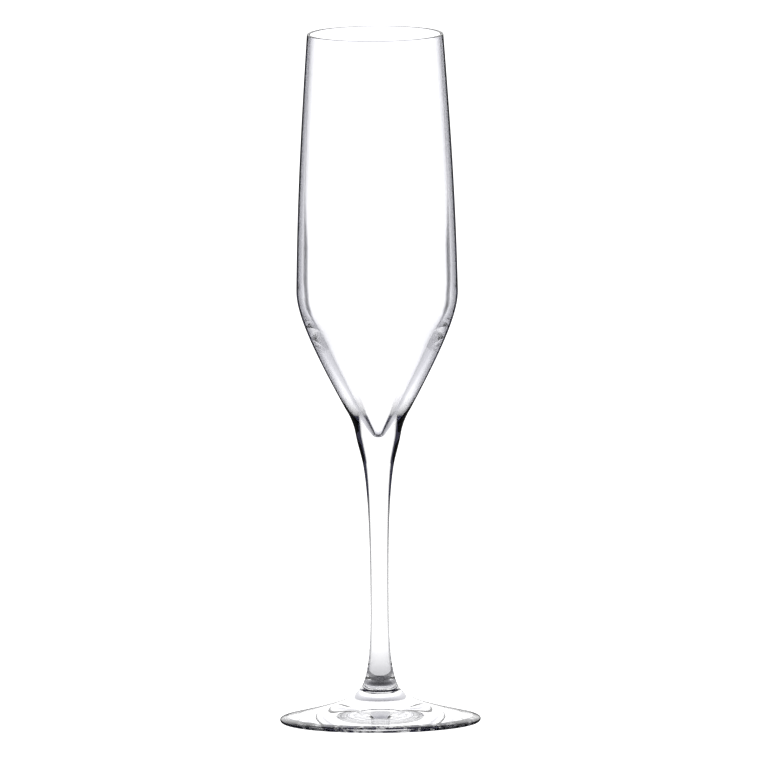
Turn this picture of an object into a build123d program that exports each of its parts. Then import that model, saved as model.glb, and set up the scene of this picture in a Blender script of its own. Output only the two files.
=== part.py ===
"""Champagne flute: a slim blown bowl with a V-shaped bottom, a drawn stem and a low conical foot.

Millimetres, +Z up. The origin is the centre of the circle that the foot stands on, and every piece
is turned about Z. Bowl, stem and foot are three pieces of glass, fused to each other face to face.
"""

import os

from build123d import *

# Driving dimensions
height = 228.0
rim_diameter = 45.0
shoulder_diameter = 53.2
waist_diameter = 5.96  # the stem where it is thinnest
foot_diameter = 66.0
rim_wall = 0.95
shoulder_wall = 2.3

# Levels along the axis
shoulder_level = 143.0  # the widest level of the bowl
cone_level = 104.0  # where the V-shaped bottom turns into the neck
tip_level = 94.9  # the deepest point inside the bowl
bowl_joint_level = 86.0  # solid glass below the tip, fused to the stem
waist_level = 38.0
foot_joint_level = 12.3  # the flared end of the stem, fused to the foot

# Radii at those levels
rim_radius = rim_diameter / 2
shoulder_radius = shoulder_diameter / 2
waist_radius = waist_diameter / 2
foot_radius = foot_diameter / 2
cone_radius = 10.86
bowl_joint_radius = 5.23
foot_joint_radius = 5.75

# The foot's edge and hollow underside
edge_top_radius = foot_radius - 1.7
edge_top_level = 2.0
edge_middle_level = 0.95  # the widest level of the rounded edge
ring_outer_radius = foot_radius - 1.0  # the flat ring that the glass stands on
ring_inner_radius = foot_radius - 3.5
hollow_depth = 0.3

with BuildPart() as bowl:
    with BuildSketch(Plane.XZ):
        with BuildLine():
            # Outside, from the rim down: side, shoulder and cone, neck, solid taper
            rim_level = height - rim_wall / 2
            side = Bezier(
                (rim_radius, rim_level),
                (rim_radius + 2.0, 199),
                (shoulder_radius - 0.5, 174),
                (shoulder_radius, shoulder_level),
            )
            cone = Bezier(
                side @ 1,
                (shoulder_radius + 0.11, 136.4),
                (22.86, 126.2),
                (cone_radius, cone_level),
            )
            neck = Bezier(cone @ 1, (10.4, 103.15), (8.3, 100.2), (7.5, 95.6))
            taper = Bezier(
                neck @ 1,
                (6.9, 92.1),
                (5.72, 88.45),
                (bowl_joint_radius, bowl_joint_level),
            )
            # The fused face, and the axis up to the tip of the hollow
            Line(taper @ 1, (0, bowl_joint_level))
            Line((0, bowl_joint_level), (0, tip_level))
            # Inside, from the tip up: rounded point, V, shoulder and side
            inner_shoulder_radius = shoulder_radius - shoulder_wall
            point = Bezier((0, tip_level), (0.8, tip_level), (1.3, 95.33), (1.9, 96.5))
            inner_cone = Bezier(
                point @ 1,
                (21.9, 135.5),
                (inner_shoulder_radius - 0.31, 132),
                (inner_shoulder_radius, 145),
            )
            inner_side = Bezier(
                inner_cone @ 1,
                (inner_shoulder_radius + 0.13, 150.5),
                (rim_radius - rim_wall + 1.55, 202),
                (rim_radius - rim_wall, rim_level),
            )
            # The fire-polished rim is a half circle
            ThreePointArc(inner_side @ 1, (rim_radius - rim_wall / 2, height), side @ 0)
        make_face()
    revolve(axis=Axis.Z)
bowl.part.label = "bowl"

with BuildPart() as stem:
    with BuildSketch(Plane.XZ):
        with BuildLine():
            upper = Bezier(
                (bowl_joint_radius, bowl_joint_level),
                (3.3, 76.1),
                (waist_radius, 58),
                (waist_radius, waist_level),
            )
            flare = Bezier(
                upper @ 1,
                (waist_radius, 28),
                (3.4, 17.4),
                (foot_joint_radius, foot_joint_level),
            )
            Line(flare @ 1, (0, foot_joint_level))
            Line((0, foot_joint_level), (0, bowl_joint_level))
            Line((0, bowl_joint_level), upper @ 0)
        make_face()
    revolve(axis=Axis.Z)
stem.part.label = "stem"

with BuildPart() as foot:
    with BuildSketch(Plane.XZ):
        with BuildLine():
            top = Bezier(
                (foot_joint_radius, foot_joint_level),
                (8.15, 7.5),
                (15.3, 5.8),
                (edge_top_radius, edge_top_level),
            )
            # The edge is rounded: over its upper half, then under to the flat ring
            upper_edge = Bezier(
                top @ 1,
                (foot_radius - 0.7, 1.78),
                (foot_radius, 1.55),
                (foot_radius, edge_middle_level),
            )
            lower_edge = Bezier(
                upper_edge @ 1,
                (foot_radius, 0.4),
                (ring_outer_radius + 0.5, 0),
                (ring_outer_radius, 0),
            )
            ring = Line(lower_edge @ 1, (ring_inner_radius, 0))
            # The hollow underneath rises to the axis
            hollow = Bezier(
                ring @ 1,
                (ring_inner_radius - 4, 0),
                (10, hollow_depth),
                (0, hollow_depth),
            )
            Line(hollow @ 1, (0, foot_joint_level))
            Line((0, foot_joint_level), top @ 0)
        make_face()
    revolve(axis=Axis.Z)
foot.part.label = "foot"

os.makedirs("parts", exist_ok=True)
export_step(bowl.part, "parts/bowl.step")
export_step(stem.part, "parts/stem.step")
export_step(foot.part, "parts/foot.step")
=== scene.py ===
"""Champagne flute: a blown bowl, a drawn stem and a pressed foot of clear soda-lime glass, fused in line."""
from math import cos, hypot, pi, radians, sin

import bpy
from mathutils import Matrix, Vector


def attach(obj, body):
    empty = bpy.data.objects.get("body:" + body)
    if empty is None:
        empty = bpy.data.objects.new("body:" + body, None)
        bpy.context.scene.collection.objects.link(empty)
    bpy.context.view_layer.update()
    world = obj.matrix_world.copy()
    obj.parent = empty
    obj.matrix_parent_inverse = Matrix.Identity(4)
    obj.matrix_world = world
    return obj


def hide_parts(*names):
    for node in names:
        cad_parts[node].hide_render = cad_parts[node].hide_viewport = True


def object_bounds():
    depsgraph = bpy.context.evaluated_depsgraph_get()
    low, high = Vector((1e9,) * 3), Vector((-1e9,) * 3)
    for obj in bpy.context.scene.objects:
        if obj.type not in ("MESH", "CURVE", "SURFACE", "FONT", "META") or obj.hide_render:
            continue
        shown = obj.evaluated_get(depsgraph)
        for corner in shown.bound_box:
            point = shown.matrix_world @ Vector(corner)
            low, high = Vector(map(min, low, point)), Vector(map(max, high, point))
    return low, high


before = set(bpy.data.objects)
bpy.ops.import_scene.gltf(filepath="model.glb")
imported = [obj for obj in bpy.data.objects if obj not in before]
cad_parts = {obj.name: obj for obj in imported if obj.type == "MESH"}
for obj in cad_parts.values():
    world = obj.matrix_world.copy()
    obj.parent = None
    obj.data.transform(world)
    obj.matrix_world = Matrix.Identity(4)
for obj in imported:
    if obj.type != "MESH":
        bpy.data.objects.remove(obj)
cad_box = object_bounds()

# --- Camera -------------------------------------------------------------------------------------
# A long lens a little above the table, so far off that its lines run parallel. It is rolled by
# under half a degree, because a hand-made glass stands a hair off plumb.
glass_height = cad_box[1].z - cad_box[0].z
view_width = 0.250
camera_distance = 2.0
camera_height_angle = radians(6.63)
camera_roll = radians(-0.45)
camera_shift = 0.00072  # to the right of the glass's axis
camera_drop = 0.0008  # of the point looked at, below the middle of the glass
bpy.ops.object.camera_add(
    location=(
        camera_shift,
        -camera_distance * cos(camera_height_angle),
        glass_height / 2 - camera_drop + camera_distance * sin(camera_height_angle),
    ),
    rotation=(pi / 2 - camera_height_angle, 0, 0),
)
camera = bpy.context.object
camera.name = "studio_camera"
camera.rotation_euler.rotate_axis("Z", camera_roll)
camera.data.type = "ORTHO"
camera.data.ortho_scale = view_width
camera.data.clip_start = 0.05
camera.data.clip_end = 20
bpy.context.scene.camera = camera

# --- Table top ----------------------------------------------------------------------------------
# A round white acrylic top, lit from below. Like any light panel it looks brightest along the
# slant at which the camera sees it, and dimmer from straight above.


def linear(colour):
    """An sRGB hex colour as linear red, green, blue and alpha."""
    parts = [int(colour[i : i + 2], 16) / 255 for i in (1, 3, 5)]
    return tuple(c / 12.92 if c <= 0.04045 else ((c + 0.055) / 1.055) ** 2.4 for c in parts) + (1.0,)


def add_node(tree, kind, settings=None, sources=None, stops=None):
    """Adds a node, with its properties and input values, the links into it and a ramp's colours."""
    node = tree.nodes.new(kind)
    for key, value in (settings or {}).items():
        if isinstance(key, int) or key in node.inputs:
            node.inputs[key].default_value = value
        else:
            setattr(node, key, value)
    for key, source in (sources or {}).items():
        tree.links.new(source, node.inputs[key])
    for number, (place, colour) in enumerate(stops or []):
        if number >= len(node.color_ramp.elements):
            node.color_ramp.elements.new(place)
        node.color_ramp.elements[number].position = place
        node.color_ramp.elements[number].color = linear(colour)
    return node


panel_strength = 1.42
# Degrees below the eye's level, and how bright the panel looks from there
panel_glow = [
    (-90, "#525256"),
    (-60, "#757579"),
    (-44, "#A5A5AA"),
    (-36, "#B6B6BB"),
    (-30, "#CBCBD0"),
    (-25, "#F3F3F6"),
    (-8, "#FFFFFF"),
]
table_radius = 0.5
table_gap = 0.0002  # keeps the top's face clear of the glass's
bpy.ops.object.select_all(action="DESELECT")
bpy.ops.mesh.primitive_circle_add(
    vertices=96,
    radius=table_radius,
    fill_type="NGON",
    location=(0, 0, -table_gap),
)
table_top = bpy.context.object
table_top.name = "table_top"
acrylic = bpy.data.materials.new("opal acrylic panel")
acrylic.use_nodes = True
acrylic.node_tree.nodes.remove(acrylic.node_tree.nodes["Principled BSDF"])
panel_slant = add_node(acrylic.node_tree, "ShaderNodeLayerWeight", {"Blend": 0.5})
panel_ramp = add_node(
    acrylic.node_tree,
    "ShaderNodeValToRGB",
    sources={"Fac": panel_slant.outputs["Facing"]},
    stops=[(1 + sin(radians(angle)), colour) for angle, colour in panel_glow],
)
glow = add_node(
    acrylic.node_tree,
    "ShaderNodeEmission",
    {"Strength": panel_strength},
    {"Color": panel_ramp.outputs["Color"]},
)
acrylic.node_tree.links.new(glow.outputs[0], acrylic.node_tree.nodes["Material Output"].inputs["Surface"])
table_top.data.materials.append(acrylic)
table_top.visible_glossy = False

# --- Black flag ---------------------------------------------------------------------------------
# A high ring of black velvet that stands open behind the glass. The neck bends light from it, which adds
# to the black painted into its edges, while the bowl and the foot look out below it.
flag_distance = 0.65
flag_bottom = 0.25
flag_top = 1.2
flag_opening = 46  # degrees to each side of straight behind
bpy.ops.object.select_all(action="DESELECT")
bpy.ops.mesh.primitive_cylinder_add(
    vertices=180,
    radius=flag_distance,
    depth=flag_top - flag_bottom,
    end_fill_type="NOTHING",
    location=(0, 0, (flag_top + flag_bottom) / 2),
)
flag = bpy.context.object
flag.name = "black_flag"
bpy.ops.object.mode_set(mode="EDIT")
bpy.ops.mesh.select_all(action="DESELECT")
bpy.ops.object.mode_set(mode="OBJECT")
for face in flag.data.polygons:
    face.select = face.center.y > hypot(face.center.x, face.center.y) * cos(radians(flag_opening))
bpy.ops.object.mode_set(mode="EDIT")
bpy.ops.mesh.select_mode(type="FACE")
bpy.ops.mesh.delete(type="FACE")
bpy.ops.object.mode_set(mode="OBJECT")
velvet = bpy.data.materials.new("black velvet")
velvet.use_nodes = True
velvet_shader = velvet.node_tree.nodes["Principled BSDF"]
velvet_shader.inputs["Base Color"].default_value = linear("#060608")
velvet_shader.inputs["Roughness"].default_value = 1.0
velvet_shader.inputs["Specular IOR Level"].default_value = 0.0
flag.data.materials.append(velvet)
flag.visible_camera = False
flag.visible_diffuse = False
flag.visible_shadow = False

# --- Soft light all round -----------------------------------------------------------------------
# A pale studio: white from the table's level to half way up, dark overhead. A surface that mirrors
# what is low behind it shows the dark of the room instead, which draws a clear glass's outline.
studio = bpy.data.worlds.new("soft pale studio")
bpy.context.scene.world = studio
studio.use_nodes = True
# Degrees above the eye's level, and how bright the room is there
ceiling = [
    (8, "#FFFFFF"),
    (42, "#FFFFFF"),
    (52, "#DDDDE2"),
    (58, "#A8A8B0"),
    (66, "#4A4A50"),
    (90, "#2C2C30"),
]
direction = add_node(studio.node_tree, "ShaderNodeTexCoord")
level = add_node(studio.node_tree, "ShaderNodeSeparateXYZ", sources={0: direction.outputs["Generated"]})
half_level = add_node(
    studio.node_tree,
    "ShaderNodeMath",
    {"operation": "MULTIPLY_ADD", 1: 0.5, 2: 0.5},
    {0: level.outputs["Z"]},
)
studio_ramp = add_node(
    studio.node_tree,
    "ShaderNodeValToRGB",
    sources={"Fac": half_level.outputs[0]},
    stops=[(0.5 + 0.5 * sin(radians(angle)), colour) for angle, colour in panel_glow + ceiling],
)
mirrored = add_node(studio.node_tree, "ShaderNodeLightPath")
low_down = add_node(
    studio.node_tree,
    "ShaderNodeMapRange",
    {"From Min": sin(radians(2)), "From Max": sin(radians(8)), "To Min": -0.97, "To Max": 0.0},
    {"Value": level.outputs["Z"]},
)
strength = add_node(
    studio.node_tree,
    "ShaderNodeMath",
    {"operation": "MULTIPLY_ADD", 2: 1.0},
    {0: mirrored.outputs["Is Reflection Ray"], 1: low_down.outputs["Result"]},
)
full_strength = add_node(
    studio.node_tree,
    "ShaderNodeMath",
    {"operation": "MULTIPLY", 1: panel_strength},
    {0: strength.outputs[0]},
)
background = studio.node_tree.nodes["Background"]
studio.node_tree.links.new(studio_ramp.outputs["Color"], background.inputs["Color"])
studio.node_tree.links.new(full_strength.outputs[0], background.inputs["Strength"])

# --- Bowl ---------------------------------------------------------------------------------------
# Blown into a mould in soda-lime glass: a slim side that widens to a shoulder, then a V-shaped
# bottom with a solid point. The rim is fire-polished, and the bottom is fused to the stem.
MM = 0.001
height = glass_height / MM
joint_level = 86.0
shoulder_level = 143.0
cone_level = 104.0
tip_level = 94.9
rim_radius = 22.5
rim_wall = 0.95
shoulder_radius = 26.6
shoulder_wall = 2.3
joint_radius = 5.23
rim_level = height - rim_wall / 2
inner_rim_radius = rim_radius - rim_wall
inner_shoulder_radius = shoulder_radius - shoulder_wall
rim_round = 0.5523 * rim_wall / 2  # a quarter circle's handle length


def straight(start, end):
    """A straight span of an outline."""
    step = Vector((end[0] - start[0], end[1] - start[1])) / 3
    return (start, (start[0] + step.x, start[1] + step.y), (end[0] - step.x, end[1] - step.y), end)


def turn_glass(name, outline, turns, steps):
    """Turns Bezier spans, each four (radius, level) pairs in mm, into a smooth closed piece."""
    bpy.ops.object.select_all(action="DESELECT")
    bpy.ops.curve.primitive_bezier_curve_add(location=(0, 0, 0))
    piece = bpy.context.object
    points = piece.data.splines[0].bezier_points
    points.add(len(outline) - 1)
    starts = [span[0] for span in outline] + [outline[-1][3]]
    handles_before = [outline[0][0]] + [span[2] for span in outline]
    handles_after = [span[1] for span in outline] + [outline[-1][3]]
    for point, start, before, after in zip(points, starts, handles_before, handles_after):
        point.handle_left_type = "FREE"
        point.handle_right_type = "FREE"
        point.co = (start[0] * MM, 0, start[1] * MM)
        point.handle_left = (before[0] * MM, 0, before[1] * MM)
        point.handle_right = (after[0] * MM, 0, after[1] * MM)
    piece.data.resolution_u = steps
    bpy.ops.object.convert(target="MESH")
    bpy.ops.object.mode_set(mode="EDIT")
    bpy.ops.mesh.select_all(action="SELECT")
    bpy.ops.mesh.spin(steps=turns, angle=2 * pi, center=(0, 0, 0), axis=(0, 0, 1))
    bpy.ops.mesh.select_all(action="SELECT")
    bpy.ops.mesh.remove_doubles(threshold=1e-6)
    bpy.ops.mesh.normals_make_consistent(inside=False)
    bpy.ops.object.mode_set(mode="OBJECT")
    bpy.ops.object.shade_smooth_by_angle(angle=radians(40))
    piece.name = name
    return piece


# Where two pieces were fused hot the glass has run together, so light goes straight through the seam
seam = bpy.data.materials.new("fused seam")
seam.use_nodes = True
seam.node_tree.nodes.remove(seam.node_tree.nodes["Principled BSDF"])
see_through = add_node(seam.node_tree, "ShaderNodeBsdfTransparent")
seam.node_tree.links.new(see_through.outputs[0], seam.node_tree.nodes["Material Output"].inputs["Surface"])


def fuse(piece, level):
    """Gives the flat faces at this level the seam's material."""
    piece.data.materials.append(seam)
    for face in piece.data.polygons:
        if abs(face.center.z - level * MM) < 1e-6:
            face.material_index = len(piece.data.materials) - 1


def soda_lime_glass(name):
    """Clear polished soda-lime glass: a refractive index of 1.52 and no colour, seen straight on."""
    glass = bpy.data.materials.new(name)
    glass.use_nodes = True
    shader = glass.node_tree.nodes["Principled BSDF"]
    shader.inputs["Roughness"].default_value = 0.0
    shader.inputs["IOR"].default_value = 1.52
    shader.inputs["Transmission Weight"].default_value = 1.0
    place = add_node(glass.node_tree, "ShaderNodeTexCoord")
    slant = add_node(glass.node_tree, "ShaderNodeLayerWeight", {"Blend": 0.5})
    return glass, glass.node_tree, place, slant


bowl = turn_glass(
    "bowl_glass",
    [
        straight((0, joint_level), (joint_radius, joint_level)),
        ((joint_radius, joint_level), (5.72, 88.45), (6.9, 92.1), (7.5, 95.6)),
        ((7.5, 95.6), (8.3, 100.2), (10.4, 103.15), (10.86, cone_level)),
        (
            (10.86, cone_level),
            (22.86, 126.2),
            (shoulder_radius + 0.11, 136.4),
            (shoulder_radius, shoulder_level),
        ),
        (
            (shoulder_radius, shoulder_level),
            (shoulder_radius - 0.5, 174),
            (rim_radius + 2, 199),
            (rim_radius, rim_level),
        ),
        (
            (rim_radius, rim_level),
            (rim_radius, rim_level + rim_round),
            (rim_radius - rim_wall / 2 + rim_round, height),
            (rim_radius - rim_wall / 2, height),
        ),
        (
            (rim_radius - rim_wall / 2, height),
            (rim_radius - rim_wall / 2 - rim_round, height),
            (inner_rim_radius, rim_level + rim_round),
            (inner_rim_radius, rim_level),
        ),
        (
            (inner_rim_radius, rim_level),
            (inner_rim_radius + 1.55, 202),
            (inner_shoulder_radius + 0.13, 150.5),
            (inner_shoulder_radius, 145),
        ),
        ((inner_shoulder_radius, 145), (inner_shoulder_radius - 0.31, 132), (21.9, 135.5), (1.9, 96.5)),
        ((1.9, 96.5), (1.3, 95.33), (0.8, tip_level), (0, tip_level)),
    ],
    turns=224,
    steps=24,
)
# Painted shade: towards its outline the glass's colour is painted greyer and then black as a wall is
# looked through more edgewise: the outside over its whole height, the inside as a narrow line low on the
# side, where it is thick.
blown_glass, bowl_tree, bowl_place, bowl_slant = soda_lime_glass("blown soda-lime glass")
bowl_rise = add_node(bowl_tree, "ShaderNodeSeparateXYZ", sources={0: bowl_place.outputs["Object"]})
bowl_spread = add_node(
    bowl_tree,
    "ShaderNodeVectorMath",
    {"operation": "MULTIPLY", 1: (1, 1, 0)},
    {0: bowl_place.outputs["Object"]},
)
facing_out = add_node(
    bowl_tree,
    "ShaderNodeVectorMath",
    {"operation": "DOT_PRODUCT"},
    {0: bowl_spread.outputs[0], 1: add_node(bowl_tree, "ShaderNodeNewGeometry").outputs["Normal"]},
)
inside_wall = add_node(
    bowl_tree,
    "ShaderNodeMath",
    {"operation": "LESS_THAN", 1: 0.0},
    {0: facing_out.outputs["Value"]},
)
wall_painted_outline_shade = add_node(
    bowl_tree,
    "ShaderNodeValToRGB",
    sources={"Fac": bowl_slant.outputs["Facing"]},
    stops=[
        (0.0, "#FDFDFE"),
        (0.42, "#FDFDFE"),
        (0.50, "#E3E3E7"),
        (0.55, "#CACACF"),
        (0.60, "#ACACB3"),
        (0.65, "#888890"),
        (0.70, "#6C6C74"),
        (0.76, "#66666E"),
        (0.80, "#020206"),
    ],
)
thin_side = add_node(
    bowl_tree,
    "ShaderNodeMapRange",
    {"From Min": 0.157, "From Max": 0.175, "To Min": 0.0, "To Max": -0.2},
    {"Value": bowl_rise.outputs["Z"]},
)
thick_shoulder = add_node(
    bowl_tree,
    "ShaderNodeMapRange",
    {"From Min": 0.129, "From Max": 0.136, "To Min": -0.25, "To Max": 0.0},
    {"Value": bowl_rise.outputs["Z"]},
)
inside_shift = add_node(
    bowl_tree,
    "ShaderNodeMath",
    {"operation": "ADD"},
    {0: thin_side.outputs["Result"], 1: thick_shoulder.outputs["Result"]},
)
inside_slant = add_node(
    bowl_tree,
    "ShaderNodeMath",
    {"operation": "ADD"},
    {0: bowl_slant.outputs["Facing"], 1: inside_shift.outputs[0]},
)
inside_painted_dark_line = add_node(
    bowl_tree,
    "ShaderNodeValToRGB",
    sources={"Fac": inside_slant.outputs[0]},
    stops=[
        (0.0, "#FDFDFE"),
        (0.62, "#F0F0F2"),
        (0.69, "#6A6A70"),
        (0.72, "#020206"),
    ],
)
walls_painted_shade = add_node(
    bowl_tree,
    "ShaderNodeMix",
    {"data_type": "RGBA"},
    {0: inside_wall.outputs[0], 6: wall_painted_outline_shade.outputs["Color"], 7: inside_painted_dark_line.outputs["Color"]},
)
# Solid glass below the hollow bends light far round, and the neck's sides are painted black as well: painted
# shade
neck_painted_dark_edge = add_node(
    bowl_tree,
    "ShaderNodeValToRGB",
    sources={"Fac": bowl_slant.outputs["Facing"]},
    stops=[(0.0, "#FDFDFE"), (0.28, "#FDFDFE"), (0.39, "#030308")],
)
above_neck = add_node(
    bowl_tree,
    "ShaderNodeMapRange",
    {"From Min": 0.102, "From Max": 0.109},
    {"Value": bowl_rise.outputs["Z"]},
)
bowl_painted_shade = add_node(
    bowl_tree,
    "ShaderNodeMix",
    {"data_type": "RGBA"},
    {0: above_neck.outputs["Result"], 6: neck_painted_dark_edge.outputs["Color"], 7: walls_painted_shade.outputs[2]},
)
# The painted shade of the neck and of the walls goes into the glass's base colour
bowl_tree.links.new(bowl_painted_shade.outputs[2], bowl_tree.nodes["Principled BSDF"].inputs["Base Color"])
bowl.data.materials.append(blown_glass)
fuse(bowl, joint_level)
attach(bowl, "root")
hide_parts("bowl")

# --- Stem ---------------------------------------------------------------------------------------
# A solid rod drawn from a hot gather, thinnest low down and flared at its lower end. It is fused
# to the bowl above and to the foot below.
waist_radius = 2.98
waist_level = 38.0
foot_joint_level = 12.3
foot_joint_radius = 5.75
stem = turn_glass(
    "stem_glass",
    [
        straight((0, foot_joint_level), (foot_joint_radius, foot_joint_level)),
        ((foot_joint_radius, foot_joint_level), (3.4, 17.4), (waist_radius, 28), (waist_radius, waist_level)),
        ((waist_radius, waist_level), (waist_radius, 58), (3.3, 76.1), (joint_radius, joint_level)),
        straight((joint_radius, joint_level), (0, joint_level)),
    ],
    turns=160,
    steps=48,
)
# Painted shade: a thin dark line is painted down each side where it turns edgewise. It is thicker at the neck
# and thins out towards the foot.
drawn_glass, stem_tree, stem_place, stem_slant = soda_lime_glass("drawn soda-lime glass")
stem_rise = add_node(stem_tree, "ShaderNodeSeparateXYZ", sources={0: stem_place.outputs["Object"]})
painted_line_depth = add_node(
    stem_tree,
    "ShaderNodeMapRange",
    {"From Min": 0.015, "From Max": 0.075, "To Min": 0.6, "To Max": 1.0},
    {"Value": stem_rise.outputs["Z"]},
)
thicker_end = add_node(
    stem_tree,
    "ShaderNodeMapRange",
    {"From Min": 0.066, "From Max": 0.086, "To Min": 0.0, "To Max": 0.08},
    {"Value": stem_rise.outputs["Z"]},
)
stem_edgewise = add_node(
    stem_tree,
    "ShaderNodeMath",
    {"operation": "ADD"},
    {0: stem_slant.outputs["Facing"], 1: thicker_end.outputs["Result"]},
)
side_painted_dark_line = add_node(
    stem_tree,
    "ShaderNodeValToRGB",
    sources={"Fac": stem_edgewise.outputs[0]},
    stops=[(0.0, "#FDFDFE"), (0.36, "#FDFDFE"), (0.50, "#030308")],
)
rod_painted_shade = add_node(
    stem_tree,
    "ShaderNodeMix",
    {"data_type": "RGBA", 6: linear("#FDFDFE")},
    {0: painted_line_depth.outputs["Result"], 7: side_painted_dark_line.outputs["Color"]},
)
# Painted shade: towards its flared lower end the colour is painted darker and darker grey
flare_painted_shade = add_node(
    stem_tree,
    "ShaderNodeMapRange",
    {"From Min": 0.028, "From Max": 0.0125, "To Min": 0.0, "To Max": 0.72},
    {"Value": stem_rise.outputs["Z"]},
)
stem_painted_shade = add_node(
    stem_tree,
    "ShaderNodeMix",
    {"data_type": "RGBA", 7: linear("#2C2C34")},
    {0: flare_painted_shade.outputs["Result"], 6: rod_painted_shade.outputs[2]},
)
stem_tree.links.new(stem_painted_shade.outputs[2], stem_tree.nodes["Principled BSDF"].inputs["Base Color"])
stem.data.materials.append(drawn_glass)
fuse(stem, joint_level)
fuse(stem, foot_joint_level)
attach(stem, "root")
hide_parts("stem")

# --- Foot ---------------------------------------------------------------------------------------
# A low cone pressed and spun to a rounded edge, almost flat below. It stands on a ring near the
# edge, and the flared end of the stem is fused to its top.
foot_radius = (cad_box[1].x - cad_box[0].x) / 2 / MM
edge_middle_level = 0.95
hollow_depth = 0.3
foot = turn_glass(
    "foot_glass",
    [
        straight((0, foot_joint_level), (foot_joint_radius, foot_joint_level)),
        ((foot_joint_radius, foot_joint_level), (8.15, 7.5), (15.3, 5.8), (foot_radius - 1.7, 2.0)),
        (
            (foot_radius - 1.7, 2.0),
            (foot_radius - 0.7, 1.78),
            (foot_radius, 1.55),
            (foot_radius, edge_middle_level),
        ),
        ((foot_radius, edge_middle_level), (foot_radius, 0.4), (foot_radius - 0.5, 0), (foot_radius - 1, 0)),
        straight((foot_radius - 1, 0), (foot_radius - 3.5, 0)),
        ((foot_radius - 3.5, 0), (foot_radius - 7.5, 0), (10, hollow_depth), (0, hollow_depth)),
    ],
    turns=256,
    steps=32,
)
# Painted shade: the rounded edge is painted dark all round, but for what squarely faces the eye
pressed_glass, foot_tree, foot_place, foot_slant = soda_lime_glass("pressed soda-lime glass")
foot_spread = add_node(
    foot_tree,
    "ShaderNodeVectorMath",
    {"operation": "MULTIPLY", 1: (1, 1, 0)},
    {0: foot_place.outputs["Object"]},
)
reach = add_node(foot_tree, "ShaderNodeVectorMath", {"operation": "LENGTH"}, {0: foot_spread.outputs[0]})
# Noise about 3 mm across that makes the painted dark edge ragged
painted_edge_noise = add_node(
    foot_tree,
    "ShaderNodeTexNoise",
    {"Scale": 330.0, "Detail": 2.0, "Roughness": 0.6},
    {"Vector": foot_place.outputs["Object"]},
)
edge = add_node(
    foot_tree,
    "ShaderNodeMapRange",
    {"From Min": 0.0302, "From Max": 0.0307},
    {"Value": reach.outputs["Value"]},
)
steepness = add_node(
    foot_tree,
    "ShaderNodeSeparateXYZ",
    sources={0: add_node(foot_tree, "ShaderNodeNewGeometry").outputs["Normal"]},
)
level_share = add_node(foot_tree, "ShaderNodeMath", {"operation": "ABSOLUTE"}, {0: steepness.outputs["Z"]})
steep_edge = add_node(
    foot_tree,
    "ShaderNodeMapRange",
    {"From Min": 0.99, "From Max": 0.975},
    {"Value": level_share.outputs[0]},
)
round_edge = add_node(
    foot_tree,
    "ShaderNodeMath",
    {"operation": "MULTIPLY"},
    {0: edge.outputs["Result"], 1: steep_edge.outputs["Result"]},
)
turned_away = add_node(
    foot_tree,
    "ShaderNodeMapRange",
    {"From Min": 0.02, "From Max": 0.06},
    {"Value": foot_slant.outputs["Facing"]},
)
painted_shade_share = add_node(
    foot_tree,
    "ShaderNodeMath",
    {"operation": "MULTIPLY"},
    {0: round_edge.outputs[0], 1: turned_away.outputs["Result"]},
)
ragged_painted_shade = add_node(
    foot_tree,
    "ShaderNodeMapRange",
    {"From Min": 0.50, "From Max": 0.62, "To Min": 1.0, "To Max": 0.7},
    {"Value": painted_edge_noise.outputs[0]},
)
painted_dark_edge = add_node(
    foot_tree,
    "ShaderNodeMath",
    {"operation": "MULTIPLY"},
    {0: painted_shade_share.outputs[0], 1: ragged_painted_shade.outputs["Result"]},
)
# Painted shade: a fine dark ring is painted in near where the stem's gather met the foot's
foot_rise = add_node(foot_tree, "ShaderNodeSeparateXYZ", sources={0: foot_place.outputs["Object"]})
painted_dark_ring = add_node(
    foot_tree,
    "ShaderNodeMath",
    {"operation": "COMPARE", 1: 0.01095, 2: 0.00028},
    {0: foot_rise.outputs["Z"]},
)
painted_dark_places = add_node(
    foot_tree,
    "ShaderNodeMath",
    {"operation": "MAXIMUM"},
    {0: painted_dark_edge.outputs[0], 1: painted_dark_ring.outputs[0]},
)
# The painted shade of the edge and of the ring goes into the glass's base colour
foot_painted_shade = add_node(
    foot_tree,
    "ShaderNodeMix",
    {"data_type": "RGBA", 6: linear("#FDFDFE"), 7: linear("#030308")},
    {0: painted_dark_places.outputs[0]},
)
foot_tree.links.new(foot_painted_shade.outputs[2], foot_tree.nodes["Principled BSDF"].inputs["Base Color"])
foot.data.materials.append(pressed_glass)
fuse(foot, foot_joint_level)
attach(foot, "root")
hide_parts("foot")

# --- Exposure and bounces -----------------------------------------------------------------------
# Light crosses many walls of clear glass, and white stays white.
picture = bpy.context.scene
picture.view_settings.view_transform = "Standard"
picture.cycles.max_bounces = 40
picture.cycles.transmission_bounces = 40
picture.cycles.glossy_bounces = 40
picture.cycles.transparent_max_bounces = 40
